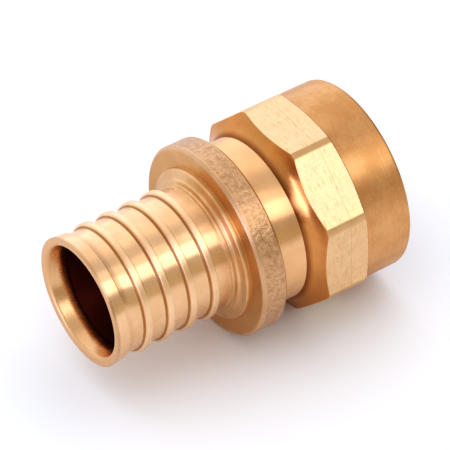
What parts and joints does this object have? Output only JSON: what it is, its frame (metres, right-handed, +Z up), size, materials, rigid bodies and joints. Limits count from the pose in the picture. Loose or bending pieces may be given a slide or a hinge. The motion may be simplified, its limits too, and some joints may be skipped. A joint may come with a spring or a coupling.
{
  "type": "female threaded pex adapter",
  "caption": "Brass pipe adapter with a ribbed spigot for plastic pipe, a sleeve flange, an eight-sided wrench section and a round collar threaded inside.",
  "frame": {"origin": "under the middle of the fitting, on the surface it lies on", "axes": "+X along the fitting's axis towards the threaded end, +Z up from the flat it lies on"},
  "size_m": [0.0542, 0.034, 0.034],
  "materials": {
    "brass": "satin"
  },
  "bodies": {
    "root": {"adapter_body": "brass"}
  },
  "joints": []
}
